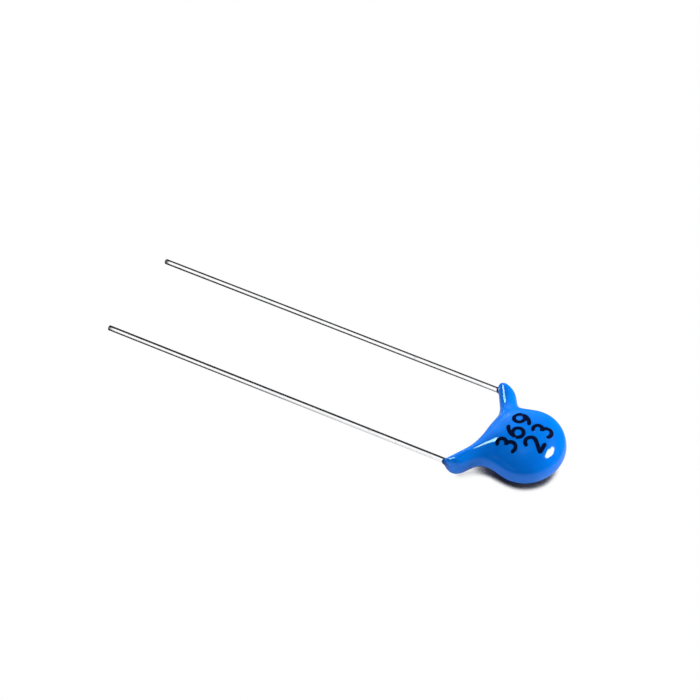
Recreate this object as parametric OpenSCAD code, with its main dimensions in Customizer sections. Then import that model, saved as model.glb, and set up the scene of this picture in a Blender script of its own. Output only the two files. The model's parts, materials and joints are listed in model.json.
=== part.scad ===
// Epoxy-dipped ceramic disc capacitor with two long straight leads, at rest on a flat surface.
// All pieces are built in the disc's own frame: the disc's axis is Z, the leads run towards -X,
// the upper lead is soldered to the upper face and leaves on the -Y side. The lower lead and
// all that goes with it are the same pieces turned half round about X. The finished part is
// then laid down, so that its body and both lead tips touch the surface z = 0.

/* [Ceramic] */
// Diameter of the ceramic disc
ceramic_dia = 5.4; // [5:0.1:6.4]
// Thickness of the ceramic disc
ceramic_thk = 1.3; // [0.8:0.1:2]
// Bevel round the edges of the ceramic disc
ceramic_bevel = 0.08; // [0.02:0.01:0.14]
// Bare ring of ceramic outside each electrode
electrode_margin = 0.3; // [0.2:0.05:0.5]
// Thickness of each fired silver electrode
electrode_thk = 0.03; // [0.02:0.01:0.06]

/* [Leads] */
// Distance between the axes of the two leads
lead_pitch = 10; // [9:0.25:12.5]
// Diameter of the lead wire
lead_dia = 0.5; // [0.4:0.05:0.7]
// Bare length of each lead, from the coating to the tip
lead_free = 36; // [20:0.5:45]
// Bend radius on the wire's middle line, inside the coating
lead_bend = 1.6; // [1.2:0.1:1.6]
// Bevel on the cut tip
tip_bevel = 0.05; // [0.02:0.01:0.1]
// Wire past the middle of its solder, over the electrode
lead_past = 0.9; // [0.5:0.1:1]

/* [Solder] */
// Film of solder between the wire and its electrode
solder_film = 0.05; // [0.03:0.01:0.1]
// Solder over the top of the wire
solder_cover = 0.1; // [0.05:0.05:0.2]
// Width of the solder mound where it wets the electrode
solder_width = 1.4; // [1.2:0.1:1.6]
// Bare ring of electrode kept outside the solder
solder_inset = 0.05; // [0.05:0.05:0.15]

/* [Coating] */
// Coating outside the rim of the ceramic
rim_wall = 0.95; // [0.6:0.05:1.2]
// Coating over the wires at the middle of the disc
face_wall = 0.72; // [0.5:0.02:1]
// Fullness of the coated disc's section: 2 is an ellipse, more is squarer
fullness = 2.5; // [2.1:0.1:3]
// Angle between each coated leg and the bare leads
leg_angle = 56; // [50:1:62]
// Distance from the disc's axis to where the middle lines of the two legs cross
leg_cross = 1.42; // [1.2:0.02:1.8]
// Width of a leg at its heel
heel_width = 1.58; // [1.3:0.02:1.9]
// Depth of a leg at its heel
heel_depth = 2.48; // [2:0.02:2.8]
// Coating over the wire along a leg
leg_wall = 0.74; // [0.5:0.02:0.9]
// Distance along a leg's middle line, from the crossing, to where the leg starts inside the disc
root_start = 1.5; // [1:0.1:2]
// Width that a leg flares to at the crossing
root_width = 2.86; // [2.4:0.02:3.2]
// Depth that a leg thins to at the crossing
root_depth = 1.8; // [1.4:0.1:2.2]
// How quickly a leg narrows away from the disc
root_taper = 2.6; // [1.5:0.1:3.5]
// Coating outside the wire at the end of a leg
heel_wall = 0.12; // [0.1:0.02:0.3]
// Softness of the edge round the end of a leg
heel_round = 0.6; // [0.3:0.05:0.6]
// Reach of the fillet between legs and disc
fillet = 1.9; // [1:0.1:2]

/* [Hidden] */

EPOXY_BLUE = [0.02, 0.45, 0.92];
CERAMIC_TAN = [0.72, 0.62, 0.5];
FIRED_SILVER = [0.86, 0.86, 0.84];
SOLDER_GREY = [0.66, 0.68, 0.7];
TINNED_WIRE = [0.78, 0.79, 0.8];
$fn = 64;

// Wires and solder
lead_r = lead_dia / 2;
electrode_r = ceramic_dia / 2 - electrode_margin;
electrode_top = ceramic_thk / 2 + electrode_thk;
lead_lift = electrode_top + solder_film + lead_r;       // wire axis above the disc's middle plane
lead_side = sqrt(pow(lead_pitch / 2, 2) - pow(lead_lift, 2));
run_offset = leg_cross * sin(leg_angle);                // wire axis to disc axis, over the electrode
mound_top = solder_film + lead_dia + solder_cover;
mound_r = (pow(solder_width / 2, 2) + pow(mound_top, 2)) / (2 * mound_top);
mound_reach = electrode_r - solder_inset - solder_width / 2;
mound_half_run = sqrt(max(pow(mound_reach, 2) - pow(run_offset, 2), 0));
corner_x = -leg_cross - lead_side / tan(leg_angle);     // where the wire's two straight lines meet
bend_x = corner_x - lead_bend * tan(leg_angle / 2);     // where the straight lead starts

// Coating
coat_r = ceramic_dia / 2 + rim_wall;
coat_h = lead_lift + lead_r + face_wall;
leg_mid = lead_lift + lead_r + leg_wall - heel_depth / 2;
heel_y = lead_side + lead_r + heel_wall;
leg_run = heel_y / sin(leg_angle);                      // along a leg's middle line to its end face
TINY = 0.000001;
LEAST_SLOPE = 0.2;                                      // keeps the distance finite on a leg's middle line
HALVINGS = 16;
SEARCH = 2 * coat_r;                                    // further than any skin from its page's middle

// Smooth blends of two distances
function soft_min(a, b, k) = let (h = max(k - abs(a - b), 0) / k) min(a, b) - h * h * k / 4;
function soft_max(a, b, k) = -soft_min(-a, -b, k);

// Turned half round about X: what the lower lead's side is to the upper lead's
function half_turn(p) = [p.x, -p.y, -p.z];

// Distance outside the coated disc alone
function disc_skin(p) =
    let (a = norm([p.x, p.y]) / coat_r,
         b = abs(p.z) / coat_h,
         s = max(pow(a, fullness) + pow(b, fullness), TINY),
         slope = pow(s, 1 / fullness - 1)
                 * norm([pow(a, fullness - 1) / coat_r, pow(b, fullness - 1) / coat_h]))
    (pow(s, 1 / fullness) - 1) / max(slope, TINY);

// Distance outside the upper lead's leg alone: a tapering oval finger with a soft-edged end face
function leg_skin(p) =
    let (along = -(p.x + leg_cross) * cos(leg_angle) - p.y * sin(leg_angle),
         across = (p.x + leg_cross) * sin(leg_angle) - p.y * cos(leg_angle),
         flare = pow(1 - min(max(along / leg_run, 0), 1), root_taper),
         half_w = (heel_width + (root_width - heel_width) * flare) / 2,
         half_d = (heel_depth + (root_depth - heel_depth) * flare) / 2,
         plan = norm([across, min(along - root_start, 0)]),
         rise = p.z - leg_mid,
         level = norm([plan / half_w, rise / half_d]),
         slope = norm([plan / pow(half_w, 2), rise / pow(half_d, 2)]) / max(level, TINY))
    soft_max((level - 1) / max(slope, LEAST_SLOPE), -p.y - heel_y, heel_round);

// Distance outside the whole coating
function skin(p) =
    soft_min(disc_skin(p), soft_min(leg_skin(p), leg_skin(half_turn(p)), fillet), fillet);

// Distance from a point inside to the skin, along a direction
function reach(from, along, inner = 0, outer = SEARCH, left = HALVINGS) =
    left <= 0 ? (inner + outer) / 2
    : let (mid = (inner + outer) / 2)
      skin(from + mid * along) < 0 ? reach(from, along, mid, outer, left - 1)
                                   : reach(from, along, inner, mid, left - 1);

// The skin is drawn on upright pages. From the disc's middle the pages fan out round a line
// between the legs until they stand square to the leg, then they turn back along the leg and
// end parallel to its end face.
FAN_PAGES = 14;
LEG_PAGES = 12;
PAGE_POINTS = 36;
END_SETBACK = 0.002;                                    // last page behind the end face
FAN_PAST = 0.2;                                         // fan's last page past the rim of the disc
fan_run = coat_r - leg_cross * cos(leg_angle) + FAN_PAST;
last_run = leg_run - END_SETBACK;

// Share of the leg still ahead of a page, squared so that the pages gather towards its end face
function ahead(i) = pow(1 - (i - FAN_PAGES) / LEG_PAGES, 2);

// Turn of a page away from the X axis, and how far along the leg's middle line it stands
function page_turn(i) = (90 - leg_angle) * (i <= FAN_PAGES ? i / FAN_PAGES : ahead(i));
function page_run(i) =
    i <= FAN_PAGES
    ? fan_run / cos(leg_angle) * sin(page_turn(i)) / sin(leg_angle + page_turn(i))
    : last_run - (last_run - fan_run) * ahead(i);

// One page's closed outline, its points spread evenly round an ellipse that fits it
function page(i) =
    let (run = page_run(i),
         across = [cos(page_turn(i)), -sin(page_turn(i)), 0],
         seed = [-leg_cross - run * cos(leg_angle), -run * sin(leg_angle),
                 leg_mid * min(run / fan_run, 1)],
         outward = reach(seed, across),
         inward = reach(seed, -across),
         centre = seed + across * (outward - inward) / 2,
         up = reach(centre, [0, 0, 1]),
         down = reach(centre, [0, 0, -1]),
         middle = centre + [0, 0, (up - down) / 2])
    [for (j = [0 : PAGE_POINTS - 1])
        let (turn = 360 * j / PAGE_POINTS,
             ray = across * cos(turn) * (outward + inward) + [0, 0, sin(turn) * (up + down)],
             way = ray / norm(ray))
        middle + way * reach(middle, way)];

// All pages, from the end of the upper leg through the disc to the end of the lower leg
upper_pages = [for (i = [FAN_PAGES + LEG_PAGES : -1 : 0]) page(i)];
lower_pages = [for (i = [1 : FAN_PAGES + LEG_PAGES])
    [for (j = [0 : PAGE_POINTS - 1])
        half_turn(upper_pages[FAN_PAGES + LEG_PAGES - i][(PAGE_POINTS - j) % PAGE_POINTS])]];
pages = concat(upper_pages, lower_pages);
skin_points = [for (ring = pages) for (p = ring) p];

// Where the coating lets go of the wire, and the tip
exit_x = corner_x - reach([corner_x, -lead_side, lead_lift], [-1, 0, 0]);
lead_reach = lead_free - exit_x;

// Rest: a roll brings both leads level, a pitch brings their tips down to the surface
SETTLE_ROUNDS = 6;
roll = asin(lead_lift * 2 / lead_pitch);
function across_rest(p) = p.y * sin(roll) + p.z * cos(roll);
function rest_z(p, pitch) = p.x * sin(pitch) + across_rest(p) * cos(pitch);
function rest_x(p, pitch) = p.x * cos(pitch) - across_rest(p) * sin(pitch);
function body_height(pitch) = -min([for (p = skin_points) rest_z(p, pitch)]);
function settle(pitch, left) =
    left <= 0 ? pitch
    : settle(asin((body_height(pitch) - lead_r * cos(pitch)) / (lead_reach - tip_bevel)), left - 1);
rest_pitch = settle(0, SETTLE_ROUNDS);
rest_height = body_height(rest_pitch);
far_x = max([for (p = skin_points) rest_x(p, rest_pitch)]);
near_x = -lead_reach * cos(rest_pitch) - (lead_r - tip_bevel) * sin(rest_pitch);

module at_rest() {
    translate([-(far_x + near_x) / 2, 0, rest_height])
        rotate([roll, -rest_pitch, 0])
            children();
}

module lower_side() {
    rotate([180, 0, 0]) children();
}

// Solid shapes in the disc's frame

module ceramic_shape() {
    rotate_extrude()
        polygon([[0, -ceramic_thk / 2],
                 [ceramic_dia / 2 - ceramic_bevel, -ceramic_thk / 2],
                 [ceramic_dia / 2, -ceramic_thk / 2 + ceramic_bevel],
                 [ceramic_dia / 2, ceramic_thk / 2 - ceramic_bevel],
                 [ceramic_dia / 2 - ceramic_bevel, ceramic_thk / 2],
                 [0, ceramic_thk / 2]]);
}

module electrode_shape() {
    translate([0, 0, ceramic_thk / 2]) cylinder(h = electrode_thk, r = electrode_r);
}

// Placed where the wire crosses the electrode nearest the disc's axis, X along the wire
module on_run() {
    translate([-run_offset * sin(leg_angle), run_offset * cos(leg_angle), 0])
        rotate([0, 0, leg_angle])
            children();
}

module lead_shape() {
    straight = bend_x + lead_reach - tip_bevel;
    inner_run = (lead_side - lead_bend * (1 - cos(leg_angle))) / sin(leg_angle)
                + leg_cross * cos(leg_angle) + lead_past;
    // Everything starts from the middle of the bend inside the end of the leg
    translate([bend_x, lead_bend - lead_side, lead_lift]) {
        rotate([0, 0, -90])
            rotate_extrude(angle = leg_angle)
                translate([lead_bend, 0]) circle(lead_r);
        // Straight lead, with its cut tip
        translate([0, -lead_bend, 0]) rotate([0, -90, 0]) {
            cylinder(h = straight, r = lead_r);
            translate([0, 0, straight])
                cylinder(h = tip_bevel, r1 = lead_r, r2 = lead_r - tip_bevel);
        }
        // Straight run through the leg and over the electrode
        rotate([0, 0, leg_angle]) translate([0, -lead_bend, 0])
            rotate([0, 90, 0]) cylinder(h = inner_run, r = lead_r);
    }
}

// A round-ended bar along the wire, cut off level with the electrode
module solder_mound() {
    intersection() {
        on_run() translate([0, 0, electrode_top + mound_top - mound_r])
            rotate([0, 90, 0]) rotate_extrude() intersection() {
                union() {
                    translate([0, -mound_half_run]) square([mound_r, 2 * mound_half_run]);
                    for (end = [-1, 1]) translate([0, end * mound_half_run]) circle(mound_r);
                }
                translate([0, -coat_r]) square([coat_r, 2 * coat_r]);
            }
        translate([-coat_r, -coat_r, electrode_top]) cube([2 * coat_r, 2 * coat_r, coat_h]);
    }
}

module skin_shape() {
    rings = len(pages);
    sides = [for (i = [0 : rings - 2]) for (j = [0 : PAGE_POINTS - 1])
        let (a = i * PAGE_POINTS + j,
             b = i * PAGE_POINTS + (j + 1) % PAGE_POINTS)
        each [[a, b, b + PAGE_POINTS], [a, b + PAGE_POINTS, a + PAGE_POINTS]]];
    first_end = [for (j = [PAGE_POINTS - 1 : -1 : 0]) j];
    last_end = [for (j = [0 : PAGE_POINTS - 1]) (rings - 1) * PAGE_POINTS + j];
    polyhedron(skin_points, concat([first_end, last_end], sides));
}

// Pieces

module ceramic_disc() color(CERAMIC_TAN) at_rest() ceramic_shape();

module upper_electrode() color(FIRED_SILVER) at_rest() electrode_shape();

module lower_electrode() color(FIRED_SILVER) at_rest() lower_side() electrode_shape();

module upper_solder() color(SOLDER_GREY) at_rest() difference() {
    solder_mound();
    lead_shape();
}

module lower_solder() color(SOLDER_GREY) at_rest() lower_side() difference() {
    solder_mound();
    lead_shape();
}

module upper_lead() color(TINNED_WIRE) at_rest() lead_shape();

module lower_lead() color(TINNED_WIRE) at_rest() lower_side() lead_shape();

module epoxy_coating() color(EPOXY_BLUE) at_rest() difference() {
    skin_shape();
    ceramic_shape();
    for (side = [0, 180]) rotate([side, 0, 0]) {
        electrode_shape();
        solder_mound();
        lead_shape();
    }
}

epoxy_coating();
ceramic_disc();
upper_electrode();
lower_electrode();
upper_solder();
lower_solder();
upper_lead();
lower_lead();
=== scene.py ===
"""Ceramic disc capacitor: the look of every piece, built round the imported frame.

The coating, the leads and the marking are worked out in millimetres in the disc's own frame:
the disc's axis is Z, the leads run towards -X and the upper lead leaves on the -Y side. What
belongs to the lower lead is the same thing turned half round about X. RestPose lays it all
down where the frame has it.
"""

import json
import logging
import math
from abc import ABC, abstractmethod
from collections.abc import Iterable
from dataclasses import dataclass
from enum import Enum

import bpy
import numpy as np
from mathutils import Matrix, Vector


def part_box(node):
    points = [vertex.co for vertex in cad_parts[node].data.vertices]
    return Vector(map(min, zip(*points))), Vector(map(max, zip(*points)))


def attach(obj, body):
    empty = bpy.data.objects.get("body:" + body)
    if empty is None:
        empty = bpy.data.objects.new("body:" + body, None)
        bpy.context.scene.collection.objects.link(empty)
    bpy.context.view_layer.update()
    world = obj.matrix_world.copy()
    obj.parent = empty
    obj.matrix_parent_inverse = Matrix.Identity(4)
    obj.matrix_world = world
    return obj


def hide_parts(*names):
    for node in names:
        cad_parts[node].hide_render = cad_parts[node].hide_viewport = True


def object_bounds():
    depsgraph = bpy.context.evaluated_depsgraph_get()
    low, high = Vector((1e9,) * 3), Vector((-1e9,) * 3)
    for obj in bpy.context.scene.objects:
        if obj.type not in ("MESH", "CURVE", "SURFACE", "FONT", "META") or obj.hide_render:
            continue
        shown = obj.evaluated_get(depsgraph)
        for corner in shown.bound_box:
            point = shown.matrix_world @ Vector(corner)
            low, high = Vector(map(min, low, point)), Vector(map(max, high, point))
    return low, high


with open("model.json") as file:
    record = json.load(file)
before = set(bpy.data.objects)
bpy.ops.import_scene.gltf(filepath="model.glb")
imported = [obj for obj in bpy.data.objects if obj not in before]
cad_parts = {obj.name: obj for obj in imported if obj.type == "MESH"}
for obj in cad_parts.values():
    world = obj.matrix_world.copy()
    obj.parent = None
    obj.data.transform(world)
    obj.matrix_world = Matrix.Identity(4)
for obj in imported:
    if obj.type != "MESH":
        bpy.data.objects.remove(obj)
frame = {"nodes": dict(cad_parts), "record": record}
CAD_BOX = [list(corner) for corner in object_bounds()]

MM = 0.001
LOG = logging.getLogger("capacitor")

# What belongs to the upper lead, times HALF_TURN, belongs to the lower one.
HALF_TURN = np.array([1.0, -1.0, -1.0])
UP = np.array([0.0, 0.0, 1.0])

# A Flat is a point on a plane, and a Span the two ends of a range.
Colour = tuple[float, float, float]
Point = tuple[float, float, float]
Flat = tuple[float, float]
Span = tuple[float, float]

WHITE: Colour = (1.0, 1.0, 1.0)
COOL: Colour = (0.6, 1.0, 1.0)
BLACK: Colour = (0.0, 0.0, 0.0)

# The spot on the floor under the coated body, in metres.
BODY_FOOT: Point = (0.0205, -0.002, 0.0)

# In mm: how high the leads lie, the ends in x of a card as long as the part, and a fade that
# starts past the end of every card, so that the card is full all along.
LEAD_HEIGHT = 2.0
WHOLE_LENGTH: Span = (-60.0, 16.0)
FULL_ALL_ALONG: Span = (90.0, 89.0)


def soft_min(a: np.ndarray, b: np.ndarray, blend: float) -> np.ndarray:
    """Blend two distances where they are close to each other.

    Args:
        a: One distance.
        b: The other distance.
        blend: Difference at which the blend starts.

    Returns:
        The lesser distance, rounded where the two cross.
    """
    near = np.maximum(blend - np.abs(a - b), 0) / blend
    return np.minimum(a, b) - near * near * blend / 4


def ease(value: np.ndarray) -> np.ndarray:
    """Smooth step of a value from 0 to 1, clamped at both ends."""
    held = np.clip(value, 0, 1)
    return held * held * (3 - 2 * held)


@dataclass(frozen=True)
class Core:
    """Sizes of what the coating holds, in mm."""

    ceramic_dia: float = 5.4
    ceramic_thickness: float = 1.3
    electrode_thickness: float = 0.03
    solder_film: float = 0.05


@dataclass(frozen=True)
class Wire:
    """Sizes of a lead and the line it follows, in mm, for the upper lead."""

    core: Core = Core()
    pitch: float = 10.0
    radius: float = 0.25
    bare_length: float = 36.0
    bend: float = 1.6
    tip_bevel: float = 0.05
    past_solder: float = 0.9
    leg_angle: float = math.radians(56)
    leg_cross: float = 1.42

    @property
    def lift(self) -> float:
        """Height of the wire's axis above the disc's middle plane."""
        face = self.core.ceramic_thickness / 2 + self.core.electrode_thickness
        return face + self.core.solder_film + self.radius

    @property
    def side(self) -> float:
        """Distance of the straight lead from the X axis, seen along Z."""
        return math.sqrt((self.pitch / 2) ** 2 - self.lift ** 2)

    @property
    def corner_x(self) -> float:
        """Where the lead's two straight lines would meet."""
        return -self.leg_cross - self.side / math.tan(self.leg_angle)

    @property
    def bend_x(self) -> float:
        """Where the straight lead starts."""
        return self.corner_x - self.bend * math.tan(self.leg_angle / 2)

    @property
    def inner_run(self) -> float:
        """Length of the straight run inside the leg and over the electrode.

        Returns:
            The length in mm.
        """
        rise = self.side - self.bend * (1 - math.cos(self.leg_angle))
        reach = rise / math.sin(self.leg_angle) + self.leg_cross * math.cos(self.leg_angle)
        return reach + self.past_solder


@dataclass(frozen=True)
class Skin:
    """The coating's outer skin as a distance: a full disc with two oval legs drawn out of it.

    Sizes are in mm. Distances are below zero inside the coating.
    """

    wire: Wire = Wire()
    rim_wall: float = 0.95
    face_wall: float = 0.72
    fullness: float = 2.5
    heel_width: float = 1.58
    heel_depth: float = 2.48
    leg_wall: float = 0.74
    root_start: float = 1.5
    root_width: float = 2.86
    root_depth: float = 1.8
    root_taper: float = 2.6
    heel_wall: float = 0.12
    heel_round: float = 0.6
    fillet: float = 1.9
    collar_film: float = 0.015
    collar_reach: float = 0.04
    collar_blend: float = 0.3
    tiny: float = 1e-6
    least_slope: float = 0.2
    halvings: int = 24

    @property
    def disc_radius(self) -> float:
        """Radius of the coated disc."""
        return self.wire.core.ceramic_dia / 2 + self.rim_wall

    @property
    def disc_half(self) -> float:
        """Half the coated disc's thickness."""
        return self.wire.lift + self.wire.radius + self.face_wall

    @property
    def leg_mid(self) -> float:
        """Height of a leg's middle line."""
        return self.wire.lift + self.wire.radius + self.leg_wall - self.heel_depth / 2

    @property
    def heel_y(self) -> float:
        """Distance of a leg's end face from the X axis."""
        return self.wire.side + self.wire.radius + self.heel_wall

    @property
    def leg_run(self) -> float:
        """Length of a leg's middle line, from the crossing to its end face."""
        return self.heel_y / math.sin(self.wire.leg_angle)

    @property
    def exit_x(self) -> float:
        """Where the coating lets go of the wire."""
        corner = np.array([[self.wire.corner_x, -self.wire.side, self.wire.lift]])
        return self.wire.corner_x - float(self.reach(corner, np.array([[-1.0, 0, 0]]), True)[0])

    def disc_gap(self, p: np.ndarray) -> np.ndarray:
        """Measure how far points are outside the coated disc alone.

        Args:
            p: Points in mm in the disc's frame.

        Returns:
            The distances in mm.
        """
        n = self.fullness
        a = np.hypot(p[..., 0], p[..., 1]) / self.disc_radius
        b = np.abs(p[..., 2]) / self.disc_half
        level = np.maximum(a ** n + b ** n, self.tiny)
        slope = level ** (1 / n - 1) * np.hypot(a ** (n - 1) / self.disc_radius,
                                                b ** (n - 1) / self.disc_half)
        return (level ** (1 / n) - 1) / np.maximum(slope, self.tiny)

    def leg_gap(self, p: np.ndarray) -> np.ndarray:
        """Measure how far points are outside the upper lead's leg alone.

        It is a tapering finger of oval section with a soft end.

        Args:
            p: Points in mm in the disc's frame.

        Returns:
            The distances in mm.
        """
        ca, sa = math.cos(self.wire.leg_angle), math.sin(self.wire.leg_angle)
        shifted = p[..., 0] + self.wire.leg_cross
        along = -shifted * ca - p[..., 1] * sa
        across = shifted * sa - p[..., 1] * ca
        flare = (1 - np.clip(along / self.leg_run, 0, 1)) ** self.root_taper
        half_w = (self.heel_width + (self.root_width - self.heel_width) * flare) / 2
        half_d = (self.heel_depth + (self.root_depth - self.heel_depth) * flare) / 2
        plan = np.hypot(across, np.minimum(along - self.root_start, 0))
        rise = p[..., 2] - self.leg_mid
        level = np.hypot(plan / half_w, rise / half_d)
        slope = np.hypot(plan / half_w ** 2, rise / half_d ** 2) / np.maximum(level, self.tiny)
        side = (level - 1) / np.maximum(slope, self.least_slope)
        return -soft_min(-side, p[..., 1] + self.heel_y, self.heel_round)

    def collar_gap(self, p: np.ndarray) -> np.ndarray:
        """Measure how far points are outside the film that climbs the upper lead where it leaves.

        Args:
            p: Points in mm in the disc's frame.

        Returns:
            The distances in mm.
        """
        end = self.exit_x - self.collar_reach
        radial = np.hypot(p[..., 1] + self.wire.side, p[..., 2] - self.wire.lift)
        beyond = np.maximum(end - p[..., 0], 0)
        inside = np.maximum(p[..., 0] - self.wire.corner_x, 0)
        return np.hypot(radial, beyond + inside) - self.wire.radius - self.collar_film

    def bare_gap(self, p: np.ndarray) -> np.ndarray:
        """Distance outside the coating without its collars."""
        legs = soft_min(self.leg_gap(p), self.leg_gap(p * HALF_TURN), self.fillet)
        return soft_min(self.disc_gap(p), legs, self.fillet)

    def gap(self, p: np.ndarray) -> np.ndarray:
        """Distance outside the whole coating."""
        collars = np.minimum(self.collar_gap(p), self.collar_gap(p * HALF_TURN))
        return soft_min(self.bare_gap(p), collars, self.collar_blend)

    def reach(self, start: np.ndarray, way: np.ndarray, bare: bool = False) -> np.ndarray:
        """Find the skin from points inside it by halving.

        Args:
            start: Points inside the coating.
            way: Unit directions, one for each point.
            bare: Whether the collars are left out.

        Returns:
            The distance from each point to the skin.
        """
        gap = self.bare_gap if bare else self.gap
        near = np.zeros(start.shape[:-1])
        far = np.full(start.shape[:-1], 2 * self.disc_radius)
        for _ in range(self.halvings):
            middle = (near + far) / 2
            inside = gap(start + middle[..., None] * way) < 0
            near = np.where(inside, middle, near)
            far = np.where(inside, far, middle)
        return (near + far) / 2

    def normals(self, p: np.ndarray, step: float = 0.01) -> np.ndarray:
        """Outward unit directions of the skin at points on it.

        Args:
            p: Points on or near the skin.
            step: How far apart the distances are taken.

        Returns:
            One unit direction for each point.
        """
        axes = np.eye(3) * step
        slope = np.stack([self.gap(p + a) - self.gap(p - a) for a in axes], -1)
        return slope / np.linalg.norm(slope, axis=-1, keepdims=True)


@dataclass(frozen=True)
class RestPose:
    """How the part lies: from the disc's own frame, in mm, to the row frame, in metres."""

    roll: float
    pitch: float
    origin: Point

    @classmethod
    def from_frame(cls, wire: Wire) -> "RestPose":
        """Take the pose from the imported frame.

        Args:
            wire: Sizes of the leads, which give the roll.

        Returns:
            The pose that the CAD pieces have.
        """
        low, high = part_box("ceramic_disc")
        axis = frame["record"]["mounts"][0]["axis"]
        roll = math.asin(2 * wire.lift / wire.pitch)
        return cls(roll, math.atan2(-axis[2], -axis[0]), tuple((low + high) / 2))

    def place(self, p: np.ndarray) -> np.ndarray:
        """Lay points down as the part lies.

        Args:
            p: Points in mm in the disc's frame.

        Returns:
            The points in metres in the row frame.
        """
        cr, sr = math.cos(self.roll), math.sin(self.roll)
        cp, sp = math.cos(self.pitch), math.sin(self.pitch)
        y = p[..., 1] * cr - p[..., 2] * sr
        z = p[..., 1] * sr + p[..., 2] * cr
        x = p[..., 0]
        laid = np.stack([x * cp - z * sp, y, x * sp + z * cp], -1)
        return laid * MM + np.array(self.origin)


def keep_in_box(points: np.ndarray) -> np.ndarray:
    """Points in metres, held inside the CAD model's box."""
    return np.clip(points, CAD_BOX[0], CAD_BOX[1])


def add_object(name: str, data: bpy.types.ID) -> bpy.types.Object:
    """Make an object and link it to the scene.

    Args:
        name: Name of the object.
        data: Its mesh, lamp or camera.

    Returns:
        The new object.
    """
    made = bpy.data.objects.new(name, data)
    bpy.context.scene.collection.objects.link(made)
    return made


def loft(name: str, rings: np.ndarray, sharp_ends: bool = False) -> bpy.types.Object:
    """Join closed rings of points into one closed smooth mesh.

    Args:
        name: Name of the new piece.
        rings: Points in metres, as (rings, points of a ring, 3).
        sharp_ends: Whether the end faces meet the sides at a sharp edge.

    Returns:
        The new object, linked to the scene.
    """
    count, around = rings.shape[:2]
    ids = np.arange(count * around).reshape(count, around)
    here, there = ids[:-1], ids[1:]
    sides = np.stack([here, np.roll(here, -1, 1), np.roll(there, -1, 1), there], -1)
    faces = sides.reshape(-1, 4).tolist()
    centres = [rings[0].mean(0), rings[-1].mean(0)]
    first, last = count * around, count * around + 1
    for j in range(around):
        k = (j + 1) % around
        faces.append([first, int(ids[0, k]), int(ids[0, j])])
        faces.append([last, int(ids[-1, j]), int(ids[-1, k])])
    mesh = bpy.data.meshes.new(name)
    mesh.from_pydata(np.concatenate([rings.reshape(-1, 3), centres]).tolist(), [], faces)
    mesh.polygons.foreach_set("use_smooth", [True] * len(mesh.polygons))
    if sharp_ends:
        side_count = (count - 1) * around
        for polygon in mesh.polygons[side_count:]:
            polygon.use_smooth = False
    mesh.validate()
    mesh.update()
    return add_object(name, mesh)


class Wiring:
    """Adds nodes to one node tree and joins them."""

    def __init__(self, tree: bpy.types.NodeTree) -> None:
        """Work on this tree."""
        self.tree = tree

    def feed(self, socket: bpy.types.NodeSocket, value: object) -> None:
        """Join a socket to another, or set its value.

        Args:
            socket: The socket that takes the value.
            value: The socket it comes from, or the value itself.
        """
        if isinstance(value, bpy.types.NodeSocket):
            self.tree.links.new(value, socket)
        else:
            socket.default_value = value

    def node(self, kind: str, inputs: dict[str, object] | None = None,
             **settings: object) -> bpy.types.Node:
        """Add one node.

        Args:
            kind: Blender's name for the node's type.
            inputs: Value or source of each named input.
            settings: Properties of the node itself.

        Returns:
            The new node.
        """
        made = self.tree.nodes.new(kind)
        for key, value in settings.items():
            setattr(made, key, value)
        for key, value in (inputs or {}).items():
            self.feed(made.inputs[key], value)
        return made

    def sum_of(self, operation: str, a: object, b: object = 0.0) -> bpy.types.NodeSocket:
        """Work out a sum on two values.

        Args:
            operation: Blender's name for the sum.
            a: First value or its source.
            b: Second value or its source.

        Returns:
            The socket with the result.
        """
        made = self.node("ShaderNodeMath", operation=operation)
        self.feed(made.inputs[0], a)
        self.feed(made.inputs[1], b)
        return made.outputs[0]

    def spread(self, value: object, low: object, high: object,
               to_low: object = 0.0, to_high: object = 1.0) -> bpy.types.NodeSocket:
        """Map a value smoothly from one span to another.

        Args:
            value: The value to map.
            low: Start of the span it comes from.
            high: End of the span it comes from.
            to_low: Result at or before the start.
            to_high: Result at or past the end.

        Returns:
            The socket with the result.
        """
        made = self.node("ShaderNodeMapRange", interpolation_type="SMOOTHSTEP")
        for key, part in (("Value", value), ("From Min", low), ("From Max", high),
                          ("To Min", to_low), ("To Max", to_high)):
            self.feed(made.inputs[key], part)
        return made.outputs[0]

    def mix(self, share: object, a: object, b: object) -> bpy.types.NodeSocket:
        """Mix two colours.

        Args:
            share: Share of the second colour.
            a: First colour or its source.
            b: Second colour or its source.

        Returns:
            The socket with the mixed colour.
        """
        made = self.node("ShaderNodeMix", data_type="RGBA")
        taken = {socket.identifier: socket for socket in made.inputs}
        given = {socket.identifier: socket for socket in made.outputs}
        for key, part in (("Factor_Float", share), ("A_Color", a), ("B_Color", b)):
            self.feed(taken[key], (*part, 1.0) if isinstance(part, tuple) else part)
        return given["Result_Color"]

    def place(self) -> bpy.types.NodeSocket:
        """Place on the piece, in metres."""
        return self.node("ShaderNodeTexCoord").outputs["Object"]

    def gap_to(self, point: Point) -> bpy.types.NodeSocket:
        """Measure how far the shaded place is from a point.

        Args:
            point: The point in metres.

        Returns:
            The socket with the distance.
        """
        made = self.node("ShaderNodeVectorMath", operation="DISTANCE")
        self.feed(made.inputs[0], self.place())
        self.feed(made.inputs[1], point)
        return made.outputs["Value"]


    def show(self, shader: bpy.types.Node) -> None:
        """Make a shader the material's surface.

        Args:
            shader: The node whose first output is shown.
        """
        output = self.node("ShaderNodeOutputMaterial")
        self.feed(output.inputs["Surface"], shader.outputs[0])


def stage_material(name: str) -> tuple[bpy.types.Material, Wiring]:
    """Make an empty material for the studio, which isn't counted among the lamps.

    Args:
        name: The material's name.

    Returns:
        The material and its wiring.
    """
    material = bpy.data.materials.new(name)
    material.use_nodes = True
    material.cycles.emission_sampling = "NONE"
    material.node_tree.nodes.clear()
    return material, Wiring(material.node_tree)


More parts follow.
